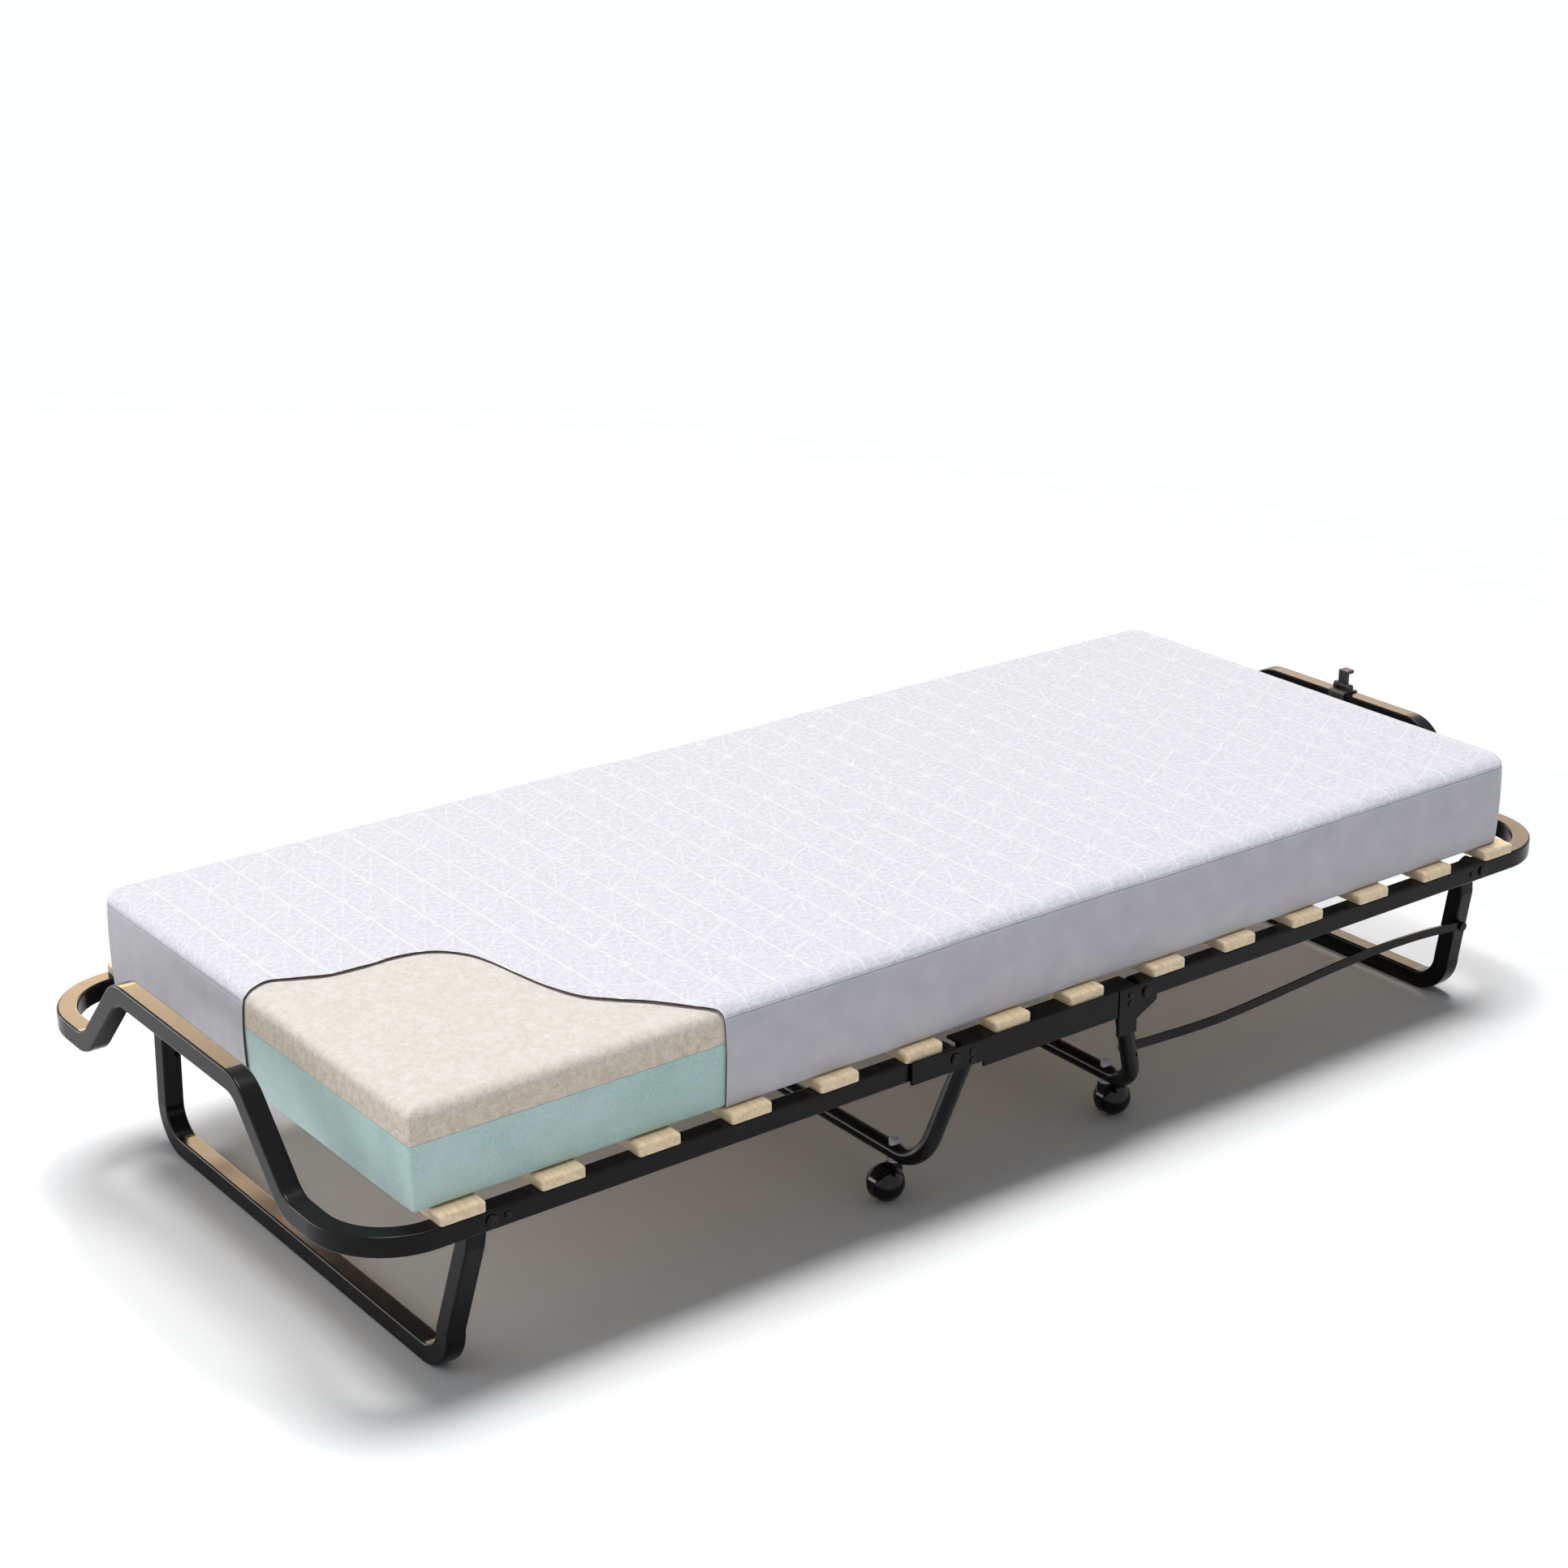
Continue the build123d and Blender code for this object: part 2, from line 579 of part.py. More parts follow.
# Pins of the link rods, one set on the caster legs and one on each end leg
with BuildPart() as caster_pin:
    pin_seat = caster_face_y - LEG_TUBE_RADIUS
    with BuildSketch(side_plane(rod_pin_x, pin_seat, rod_pin_z)):
        Circle(PIN_RADIUS)
    extrude(amount=rod_caster_y + SIDE_GAP - pin_seat)
    with BuildSketch(side_plane(rod_pin_x, rod_caster_y + SIDE_GAP, rod_pin_z)):
        Circle(ROD_HEIGHT / 2)
    extrude(amount=PLATE)
finish(caster_pin.part, "right_link_pin")
finish(turned(caster_pin.part), "left_link_pin")
with BuildPart() as leg_pin:
    with BuildSketch(side_plane(rod_leg_x, rod_leg_y - ROD_THICK - SIDE_GAP, rod_pin_z)):
        Circle(PIN_RADIUS)
    extrude(amount=ROD_THICK + TUBE / 2)
    with BuildSketch(side_plane(rod_leg_x, rod_leg_y - ROD_THICK - SIDE_GAP - PLATE, rod_pin_z)):
        Circle(ROD_HEIGHT / 2)
    extrude(amount=PLATE)
finish(leg_pin.part, "right_leg_pin")
finish(turned(leg_pin.part), "left_leg_pin")

# Latch on the +X hump: collar round the tube, and a hook that stands on a cross pin
collar = TUBE + 2 * LATCH_WALL
pin_z = HUMP_Z + collar / 2 + 2 * LATCH_PIN_RADIUS
lug_y = HOOK_WIDTH / 2 + SIDE_GAP
lug_thick = LATCH_WIDTH / 2 - lug_y
lug_foot = HUMP_Z + TUBE / 2 + LATCH_WALL / 2
with BuildPart() as latch_clip:
    with BuildSketch(Plane.XZ):
        with Locations((END_X, HUMP_Z)):
            RectangleRounded(collar, collar, TUBE_EDGE + LATCH_WALL)
            RectangleRounded(TUBE + SIDE_GAP, TUBE + SIDE_GAP, TUBE_EDGE, mode=Mode.SUBTRACT)
    extrude(amount=LATCH_WIDTH / 2, both=True)
    for side in (-1, 1):
        with BuildSketch(Plane.XZ.offset(-side * (lug_y + lug_thick / 2))):
            with Locations((END_X, pin_z)):
                Circle(2 * LATCH_PIN_RADIUS)
            with Locations((END_X, (pin_z + lug_foot) / 2)):
                Rectangle(4 * LATCH_PIN_RADIUS, pin_z - lug_foot)
        extrude(amount=lug_thick / 2, both=True)
    with BuildSketch(Plane.XZ):
        with Locations((END_X, pin_z)):
            Circle(LATCH_PIN_RADIUS)
    extrude(amount=LATCH_WIDTH / 2, both=True)
finish(latch_clip.part, "latch_clip")
hook_thick = 2 * LATCH_PIN_RADIUS
with BuildPart() as latch_hook:
    with BuildSketch(Plane.XZ):
        with Locations((END_X, pin_z)):
            Circle(2 * LATCH_PIN_RADIUS - SIDE_GAP)
        with Locations((END_X, pin_z + HOOK_LENGTH / 2)):
            Rectangle(hook_thick, HOOK_LENGTH)
        with Locations((END_X + HOOK_LIP / 2, pin_z + HOOK_LENGTH - hook_thick / 2)):
            Rectangle(HOOK_LIP, hook_thick)
        with Locations((END_X, pin_z)):
            Circle(LATCH_PIN_RADIUS + RUNNING_FIT, mode=Mode.SUBTRACT)
    extrude(amount=HOOK_WIDTH / 2, both=True)
finish(latch_hook.part, "latch_hook")


# Mattress: base foam, memory foam and cover, each in three lengths that meet near the fold pivots
mattress_x0 = MATTRESS_SHIFT_X - MATTRESS_LENGTH / 2
mattress_x1 = MATTRESS_SHIFT_X + MATTRESS_LENGTH / 2
spans = {
    "left": (mattress_x0, -SEGMENT_X - SEGMENT_GAP / 2),
    "center": (-SEGMENT_X + SEGMENT_GAP / 2, SEGMENT_X - SEGMENT_GAP / 2),
    "right": (SEGMENT_X + SEGMENT_GAP / 2, mattress_x1),
}
foam_length = MATTRESS_LENGTH - 2 * COVER
foam_width = MATTRESS_WIDTH - 2 * COVER
middle = (MATTRESS_SHIFT_X, MATTRESS_SHIFT_Y)
base_bottom = MATTRESS_Z + COVER
memory_bottom = base_bottom + BASE_FOAM


def block(length, width, corner, bottom, height):
    """Foam slab with upright rounded corners."""
    with BuildPart() as slab:
        with BuildSketch(Plane.XY.offset(bottom)):
            with Locations(middle):
                RectangleRounded(length, width, corner)
        extrude(amount=height)
    return slab.part


with BuildPart() as base_foam:
    add(block(foam_length, foam_width, MATTRESS_CORNER - COVER, base_bottom, BASE_FOAM))
    fillet(base_foam.edges().group_by(Axis.Z)[0], MATTRESS_ROUND / 2 - COVER)
with BuildPart() as memory_foam:
    add(block(foam_length, foam_width, MATTRESS_CORNER - COVER, memory_bottom, MEMORY_FOAM))
    fillet(memory_foam.edges().group_by(Axis.Z)[-1], MATTRESS_ROUND - COVER)
near_y = MATTRESS_SHIFT_Y - MATTRESS_WIDTH / 2
opening_edge = [(mattress_x0 + along, near_y + across) for along, across in OPENING_EDGE]
with BuildPart() as cover:
    add(block(MATTRESS_LENGTH, MATTRESS_WIDTH, MATTRESS_CORNER, MATTRESS_Z, MATTRESS_THICK))
    fillet(cover.edges().group_by(Axis.Z)[-1], MATTRESS_ROUND)
    fillet(cover.edges().group_by(Axis.Z)[0], MATTRESS_ROUND / 2)
    add(base_foam.part, mode=Mode.SUBTRACT)
    add(memory_foam.part, mode=Mode.SUBTRACT)
    with BuildSketch(Plane.XY.offset(base_bottom)):
        with BuildLine():
            edge = Spline(*opening_edge)
            Polyline(edge @ 1, (opening_edge[0][0], opening_edge[-1][1]), edge @ 0)
        make_face()
    extrude(amount=MATTRESS_THICK, mode=Mode.SUBTRACT)

for layer, whole in (("base_foam", base_foam), ("memory_foam", memory_foam), ("cover", cover)):
    for place, (low, high) in spans.items():
        with BuildPart() as piece:
            add(whole.part)
            with Locations(((low + high) / 2, MATTRESS_SHIFT_Y, MATTRESS_Z)):
                Box(high - low, 2 * MATTRESS_WIDTH, 4 * MATTRESS_THICK, mode=Mode.INTERSECT)
        finish(piece.part, f"{place}_{layer}")
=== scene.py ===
"""Looks of a rollaway folding cot: black tube frame, pine slats, ball casters and a foam mattress."""

import math

import bmesh
import bpy
import numpy as np
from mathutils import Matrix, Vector
from mathutils.geometry import delaunay_2d_cdt


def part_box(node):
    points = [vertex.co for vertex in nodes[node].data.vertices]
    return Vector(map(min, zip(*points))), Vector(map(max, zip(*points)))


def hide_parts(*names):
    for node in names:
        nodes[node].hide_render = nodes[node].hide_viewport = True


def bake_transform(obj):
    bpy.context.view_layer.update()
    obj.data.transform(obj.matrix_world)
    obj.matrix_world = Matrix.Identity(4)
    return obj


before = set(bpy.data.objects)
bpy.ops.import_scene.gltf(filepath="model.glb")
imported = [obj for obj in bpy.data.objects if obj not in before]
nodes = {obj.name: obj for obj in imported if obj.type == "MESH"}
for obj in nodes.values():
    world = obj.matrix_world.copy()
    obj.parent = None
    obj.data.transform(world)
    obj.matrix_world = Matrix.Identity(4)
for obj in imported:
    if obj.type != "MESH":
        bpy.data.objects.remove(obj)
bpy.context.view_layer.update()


# Frame halves, end legs, caster legs, side plates and link rods: bent and welded steel,
# sprayed with a black powder coat that dries satin, with a fine orange-peel skin and a few scuffs.
def add(tree, kind, inputs=None, **settings):
    """One shader node with its settings, and its inputs set or joined."""
    made = tree.nodes.new(kind)
    for name, value in settings.items():
        setattr(made, name, value)
    for socket, value in (inputs or {}).items():
        if isinstance(value, bpy.types.NodeSocket):
            tree.links.new(value, made.inputs[socket])
        else:
            made.inputs[socket].default_value = value
    return made


def finish_named(name, **values):
    """A new finish: its material, node tree, shader and object coordinates."""
    material = bpy.data.materials.new(name)
    material.use_nodes = True
    tree = material.node_tree
    shader = tree.nodes["Principled BSDF"]
    for socket, value in values.items():
        shader.inputs[socket.replace("_", " ")].default_value = value
    coords = add(tree, "ShaderNodeTexCoord").outputs["Object"]
    return material, tree, shader, coords


def tint(tree, factor, low, high, span=(0.35, 0.65)):
    """Colour that runs from low to high with a factor."""
    ramp = add(tree, "ShaderNodeValToRGB", {"Fac": factor})
    for stop, place, colour in zip(ramp.color_ramp.elements, span, (low, high)):
        stop.position = place
        stop.color = (*colour, 1)
    return ramp.outputs["Color"]


def spread(tree, factor, low, high):
    """Number that runs from low to high with a factor."""
    return add(tree, "ShaderNodeMapRange", {"Value": factor, "To Min": low, "To Max": high}).outputs["Result"]


def paint(tree, shader, factor, low, high, span=(0.35, 0.65)):
    """Colours a shader from low to high with a factor."""
    tree.links.new(tint(tree, factor, low, high, span), shader.inputs["Base Color"])


def polish(tree, shader, factor, low, high):
    """Makes a shader rougher from low to high with a factor."""
    tree.links.new(spread(tree, factor, low, high), shader.inputs["Roughness"])


def relief(tree, shader, height, depth, strength=1.0, below=None):
    """Bump of that depth in metres on a shader, over another one where it is given."""
    bump = add(tree, "ShaderNodeBump", {"Height": height, "Distance": depth, "Strength": strength})
    if below is not None:
        tree.links.new(below.outputs["Normal"], bump.inputs["Normal"])
    tree.links.new(bump.outputs["Normal"], shader.inputs["Normal"])
    return bump


def noise(tree, coords, scale, detail=2.0, rough=0.5, stretch=None):
    """Noise value at so many cells a metre, stretched along the axes where that is given."""
    if stretch is not None:
        coords = add(tree, "ShaderNodeMapping", {"Vector": coords, "Scale": stretch}).outputs["Vector"]
    made = add(tree, "ShaderNodeTexNoise", {"Vector": coords, "Scale": scale, "Detail": detail, "Roughness": rough})
    return made.outputs["Fac"]


def dress(material, names):
    """Gives carried-over solids their finish."""
    for name in names:
        nodes[name].data.materials.clear()
        nodes[name].data.materials.append(material)


sides = ("left", "right")
powder, tree, shader, coords = finish_named("black_powder_coat", Specular_IOR_Level=0.13)
scuffs = noise(tree, coords, 38, 6, 0.7)
paint(tree, shader, scuffs, (0.0030, 0.0030, 0.0032), (0.0075, 0.0073, 0.0070), (0.4, 0.85))
polish(tree, shader, scuffs, 0.13, 0.27)
relief(tree, shader, noise(tree, coords, 620, 2), 0.0002, 0.22)
steel_nodes = ["center_plate_near", "center_plate_far"]
for side in sides:
    steel_nodes += [f"{side}_{piece}" for piece in ("frame", "end_leg", "caster_leg", "link_rod")]
dress(powder, steel_nodes)

# Bolts, rivets, link pins and caster stems: small turned and headed steel pieces.
# They are dipped in black oxide, which is thin and wears bright on the high spots.
oxide, tree, shader, coords = finish_named("black_oxide_steel", Metallic=1.0)
wear = noise(tree, coords, 420, 4, 0.6)
paint(tree, shader, wear, (0.014, 0.014, 0.015), (0.05, 0.049, 0.047), (0.45, 0.8))
polish(tree, shader, wear, 0.28, 0.5)
relief(tree, shader, wear, 0.0001, 0.3)
fastener_nodes = ["fold_pivot_bolts", "caster_leg_rivets"]
for side in sides:
    fastener_nodes += [f"{side}_{piece}" for piece in ("leg_bolts", "leg_pin", "link_pin")]
dress(oxide, fastener_nodes + [f"caster_stem_{number}" for number in range(1, 5)])

# Slats: sanded and sealed pine boards that carry the mattress.
# They are quarter-sawn, so the grain runs in long fine lines across the bed.
pine, tree, shader, coords = finish_named("sealed_pine", Specular_IOR_Level=0.4)
rings = noise(tree, coords, 1, 5, 0.62, (150, 3.2, 150))
pores = noise(tree, coords, 1, 3, 0.7, (900, 22, 900))
boards = noise(tree, coords, 1, 0, 0.5, (9, 0.4, 9))
grain = add(tree, "ShaderNodeMix", {"Factor": 0.3, "A": rings, "B": pores}).outputs["Result"]
board_tone = add(tree, "ShaderNodeMix", {"Factor": 0.25, "A": grain, "B": boards}).outputs["Result"]
paint(tree, shader, board_tone, (0.60, 0.385, 0.18), (0.83, 0.605, 0.335), (0.36, 0.6))
polish(tree, shader, grain, 0.42, 0.6)
relief(tree, shader, grain, 0.0003, 0.25)
slat_nodes = ["center_slat_left", "center_slat_right"]
for side in sides:
    slat_nodes += [f"{side}_slat_{number}" for number in range(1, 7)]
dress(pine, slat_nodes)

# Slat end caps: rounded moulded blocks the colour of pale wood.
# Each is a socket for one slat end, and is pressed on the rail.
cap_wood, tree, shader, coords = finish_named("pale_cap", Specular_IOR_Level=0.4)
streaks = noise(tree, coords, 1, 4, 0.6, (210, 16, 210))
flecks = noise(tree, coords, 260, 3, 0.6)
cap_tone = add(tree, "ShaderNodeMix", {"Factor": 0.3, "A": streaks, "B": flecks}).outputs["Result"]
paint(tree, shader, cap_tone, (0.76, 0.555, 0.325), (0.93, 0.755, 0.515), (0.36, 0.62))
polish(tree, shader, flecks, 0.4, 0.56)
relief(tree, shader, streaks, 0.0003, 0.2)
dress(cap_wood, ["left_slat_caps", "center_slat_caps", "right_slat_caps"])

# Ball casters: a hood and two half balls on an axle, moulded in hard black nylon.
# The mould is polished, so the face is glossy with faint swirl marks.
nylon, tree, shader, coords = finish_named(
    "polished_nylon", Specular_IOR_Level=0.2, Coat_Weight=0.06, Coat_Roughness=0.04
)
swirl = noise(tree, coords, 130, 5, 0.65)
paint(tree, shader, swirl, (0.0025, 0.0025, 0.0032), (0.007, 0.007, 0.0085))
polish(tree, shader, swirl, 0.08, 0.2)
relief(tree, shader, swirl, 0.0002, 0.12)
dress(nylon, [f"caster_{piece}_{number}" for piece in ("hood", "wheels") for number in range(1, 5)])

# Caster sockets: plugs that hold the caster stems in the crossbars.
# They are moulded in milky translucent plastic and pushed into place.
milky, tree, shader, coords = finish_named("milky_plastic", Transmission_Weight=0.35, IOR=1.48)
cloud = noise(tree, coords, 240, 3, 0.6)
paint(tree, shader, cloud, (0.66, 0.67, 0.75), (0.82, 0.82, 0.88))
polish(tree, shader, cloud, 0.2, 0.38)
dress(milky, ["caster_sockets"])

# Latch: a collar clipped round the hump, and a hook that swings on the collar's pin.
# Both are moulded in glass-filled black nylon, which leaves a dull skin.
latch_finish, tree, shader, coords = finish_named("dull_black_nylon")
speckle = noise(tree, coords, 900, 2, 0.6)
paint(tree, shader, speckle, (0.008, 0.008, 0.009), (0.02, 0.02, 0.021))
polish(tree, shader, speckle, 0.38, 0.6)
relief(tree, shader, speckle, 0.0002, 0.3)
dress(latch_finish, ["latch_clip", "latch_hook"])

# Foam layers: a firm mint slab with a softer cream slab glued on it, cut with a hot wire, so the faces are fine
# open cells. The cream one is rounded off on top. The corner left open by the cover is sharper than the others.
FOLD_FROM, FOLD_TO = 0.118, 0.178
FOLD_STEP = 0.006
WAIST, WAIST_FROM, WAIST_REACH = 0.003, 0.10, 0.20
MIDDLE_STEP, WAIST_END_CUTS = 0.02, (0.197, 0.204)
BORDER_SWELL = 0.0025
FOAM_INSET, FOAM_SINK = 0.0028, 0.0026
OPEN_CORNER, SHUT_CORNER, LEAST_CORNER = 0.008, 0.033, 0.0035
FOAM_TOP, FOAM_FOOT, GLUE_EASE = 0.013, 0.003, 0.0008
low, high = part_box("left_cover")[0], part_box("right_cover")[1]
thick = high.z - low.z
fold_cuts = np.arange(FOLD_FROM - FOLD_STEP, FOLD_TO + 2 * FOLD_STEP, FOLD_STEP)
waist_cuts = (*np.arange(MIDDLE_STEP, WAIST_FROM, MIDDLE_STEP), *WAIST_END_CUTS)


def fold_piece(piece):
    """Bakes a mattress piece's placement into its mesh."""
    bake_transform(piece)


def slice_half(bm, way, places):
    """Cuts across a mattress piece at places along one half, and off at the middle of the bed."""
    for place in (*places, 0):
        everything = bm.verts[:] + bm.edges[:] + bm.faces[:]
        bmesh.ops.bisect_plane(
            bm,
            geom=everything,
            plane_co=(way * place, 0, 0),
            plane_no=(-way, 0, 0),
            clear_outer=bool(place == 0),
        )
    bmesh.ops.holes_fill(bm, edges=[e for e in bm.edges if e.is_boundary])


def waist(x):
    """How far the sides are drawn in near the fold."""
    share = np.clip((WAIST_REACH - np.abs(x)) / (WAIST_REACH - WAIST_FROM), 0, 1)
    return WAIST * share * share * (3 - 2 * share)


def barrel(z):
    """How far the sides are drawn in above and below their fullest height."""
    return BORDER_SWELL * (2 * (z - low.z) / thick - 1) ** 2


def link_mesh(name, bm, *materials):
    """Object with that mesh, smooth but for its real edges."""
    mesh = bpy.data.meshes.new(name)
    bm.to_mesh(mesh)
    bm.free()
    for material in materials:
        mesh.materials.append(material)
    mesh.shade_smooth()
    mesh.set_sharp_from_angle(angle=math.radians(50))
    piece = bpy.data.objects.new(name, mesh)
    bpy.context.scene.collection.objects.link(piece)
    return piece


def slab_outline(inset, z):
    """Outline of a foam slab at one height, drawn in by an inset, each corner with its own radius."""
    inset = inset + FOAM_INSET + barrel(z)
    x0, x1, y0, y1 = low.x + inset, high.x - inset, low.y + inset, high.y - inset
    ring = []
    for number, (x, y) in enumerate(((x0, y0), (x1, y0), (x1, y1), (x0, y1))):
        radius = max((OPEN_CORNER if number == 0 else SHUT_CORNER) - inset, LEAST_CORNER)
        centre = (x + radius * (1 if x == x0 else -1), y + radius * (1 if y == y0 else -1))
        for turn in np.linspace(180 + 90 * number, 270 + 90 * number, 9):
            angle = math.radians(turn)
            ring.append((centre[0] + radius * math.cos(angle), centre[1] + radius * math.sin(angle), z))
    return ring


def foam_layer(layer, material, foot, top):
    """Left and right lengths of one foam slab, cut at the middle of the bed."""
    floor_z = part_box(f"left_{layer}")[0].z
    roof_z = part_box(f"left_{layer}")[1].z - (FOAM_SINK if top > foot else 0)
    turns = np.radians(np.linspace(0, 90, 8))
    steps = [(foot * (1 - math.sin(t)), floor_z + foot * (1 - math.cos(t))) for t in turns]
    steps += [(top * (1 - math.cos(t)), roof_z - top * (1 - math.sin(t))) for t in turns]
    for side in sides:
        way = -1 if side == "left" else 1
        bm = bmesh.new()
        rings = [[bm.verts.new(p) for p in slab_outline(*step)] for step in steps]
        for below, above in zip(rings, rings[1:]):
            for k in range(len(below)):
                bm.faces.new((below[k - 1], below[k], above[k], above[k - 1]))
        bm.faces.new(rings[-1])
        bm.faces.new(rings[0][::-1])
        slice_half(bm, way, (*fold_cuts, *waist_cuts))
        for v in bm.verts:
            v.co.y -= math.copysign(float(waist(v.co.x)), v.co.y - (low.y + high.y) / 2)
        bmesh.ops.recalc_face_normals(bm, faces=bm.faces[:])
        bm.normal_update()
        # How much each point faces up; the cream finish uses it to paint its sides darker, partly as painted shade.
        upward = bm.verts.layers.float.new("upward")
        for v in bm.verts:
            v[upward] = max(v.normal.z, 0)
        piece = link_mesh(f"{side}_{layer}_slab", bm, material)
        fold_piece(piece)
        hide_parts(f"{side}_{layer}", f"center_{layer}")


mint, tree, shader, coords = finish_named("mint_foam", Roughness=0.95, Specular_IOR_Level=0.15, Sheen_Weight=0.15)
cells = noise(tree, coords, 520, 3, 0.65)
drift = noise(tree, coords, 14, 3, 0.55)
mint_tone = add(tree, "ShaderNodeMix", {"Factor": 0.4, "A": cells, "B": drift}).outputs["Result"]
paint(tree, shader, mint_tone, (0.44, 0.605, 0.57), (0.575, 0.74, 0.705), (0.4, 0.59))
relief(tree, shader, cells, 0.0012, 0.35)
foam_layer("base_foam", mint, FOAM_FOOT, GLUE_EASE)

cream, tree, shader, coords = finish_named("cream_foam", Roughness=0.95, Specular_IOR_Level=0.15, Sheen_Weight=0.15)
cells = noise(tree, coords, 430, 5, 0.75)
mottle = noise(tree, coords, 110, 6, 0.75)
cream_tone = add(tree, "ShaderNodeMix", {"Factor": 0.5, "A": cells, "B": mottle}).outputs["Result"]
# The sides get a darker, beiger colour than the top through the upward-facing mask: partly the cut faces' own tone,
# partly painted shade on the sides.
cream_top_tone = tint(tree, cream_tone, (0.755, 0.665, 0.58), (0.895, 0.835, 0.78), (0.4, 0.57))
cream_cut_and_painted_shade = tint(tree, cream_tone, (0.65, 0.525, 0.40), (0.89, 0.785, 0.66), (0.4, 0.57))
facing_up = add(tree, "ShaderNodeAttribute", attribute_name="upward").outputs["Fac"]
cream_with_painted_side_shade = add(tree, "ShaderNodeMix", {"Factor": facing_up}, data_type="RGBA")
tree.links.new(cream_cut_and_painted_shade, cream_with_painted_side_shade.inputs["A"])
tree.links.new(cream_top_tone, cream_with_painted_side_shade.inputs["B"])
tree.links.new(cream_with_painted_side_shade.outputs["Result"], shader.inputs["Base Color"])
relief(tree, shader, cells, 0.0022, 0.55)
foam_layer("memory_foam", cream, GLUE_EASE, FOAM_TOP)

# Mattress cover: a knitted jacquard top that wraps over the edge to a seam, and a plain border below it.
# It is sewn as one skin, drawn tight over the foam, and laid open at one corner along a wavy cut.
PLAN_CORNER, TOP_ROUND, FOOT_ROUND = 0.029, 0.017, 0.005
COVER_THICK = 0.002
SEAM_DROP, SEAM_DENT, SEAM_HALF = 0.0145, 0.0014, 0.0024
STITCH_PITCH, STITCH_LONG, STITCH_THICK, STITCH_ABOVE = 0.0055, 0.0019, 0.0007, 0.0042
QUILT_PITCH = 0.055
COLUMNS_PER_QUILT = 6
ROW_STEP = 0.0095
QUILT_DEPTH, PUFF, SOFT_SWELL = 0.0011, 0.0010, 0.0009
CUT_CLEAR = 0.0036
CUT_ON_TOP = (
    (-0.862, -0.026), (-0.836, -0.017), (-0.809, -0.029), (-0.775, -0.044), (-0.731, -0.048), (-0.694, -0.047),
    (-0.660, -0.053), (-0.637, -0.068), (-0.619, -0.093), (-0.609, -0.128), (-0.603, -0.171), (-0.594, -0.223),
    (-0.579, -0.264), (-0.554, -0.294), (-0.528, -0.320), (-0.508, -0.346), (-0.489, -0.372),
)
CUT_LEFT_Y, CUT_NEAR_X = -0.029, -0.472
flat_run = PLAN_CORNER - TOP_ROUND
top_arc, foot_arc = math.pi / 2 * TOP_ROUND, math.pi / 2 * FOOT_ROUND
side_run = thick - TOP_ROUND - FOOT_ROUND
seam_at = flat_run + TOP_ROUND * math.acos(1 - SEAM_DROP / TOP_ROUND)
skin_run = flat_run + top_arc + side_run + foot_arc
ring_rows = [0, flat_run, *(flat_run + top_arc * np.linspace(1 / 7, 1, 7))]
ring_rows += [*(flat_run + top_arc + side_run * np.linspace(0.1, 1, 10))]
ring_rows += [*(skin_run - foot_arc * np.array((0.67, 0.33, 0)))]
ring_rows = [row for row in ring_rows if abs(row - seam_at) > 2.6 * SEAM_HALF]
ring_rows = sorted([*ring_rows, *(seam_at + SEAM_HALF * np.array((-2, -1, 0, 1, 2)))])
inset_low = np.array((low.x + PLAN_CORNER, low.y + PLAN_CORNER))
inset_high = np.array((high.x - PLAN_CORNER, high.y - PLAN_CORNER))


def profile(run):
    """How far out from the inset rectangle and how high the skin is, a run along it from there."""
    run = np.asarray(run, float)
    over = np.clip((run - flat_run) / TOP_ROUND, 0, math.pi / 2)
    down = np.clip(run - flat_run - top_arc, 0, side_run)
    under = np.clip((run - flat_run - top_arc - side_run) / FOOT_ROUND, 0, math.pi / 2)
    out = np.minimum(run, flat_run) + TOP_ROUND * np.sin(over) - FOOT_ROUND * (1 - np.cos(under))
    z = high.z - TOP_ROUND * (1 - np.cos(over)) - down - FOOT_ROUND * np.sin(under)
    out = out * (1 - barrel(z) / PLAN_CORNER)
    out = out - SEAM_DENT * np.clip(1 - np.abs(run - seam_at) / SEAM_HALF, 0, 1)
    return out, z


def skin(flat):
    """Places of points of the unrolled skin on the mattress, and their run from the inset rectangle."""
    inner = np.clip(flat, inset_low, inset_high)
    away = flat - inner
    run = np.linalg.norm(away, axis=1)
    heading = away / np.maximum(run, 1e-9)[:, None]
    out, z = profile(run)
    place = inner + heading * out[:, None]
    drawn = waist(place[:, 0]) * np.clip(run / flat_run, 0, 1)
    place[:, 1] -= np.sign(place[:, 1] - (low.y + high.y) / 2) * drawn
    on_top = np.clip(1 - run / (flat_run + top_arc), 0, 1)
    beat = np.abs(np.mod(flat[:, 0] / QUILT_PITCH + 0.5, 1) - 0.5) * 2
    puff = PUFF * np.sqrt(np.clip(beat, 0, 1)) * (0.7 + 0.3 * np.sin(flat[:, 1] / 0.031 * math.pi))
    swell = SOFT_SWELL * np.sin(flat[:, 0] * 9.3 + 1.1) * np.sin(flat[:, 1] * 13.7 + 0.4)
    z = z + on_top * (puff + swell - QUILT_DEPTH)
    return np.column_stack((place, z)), run


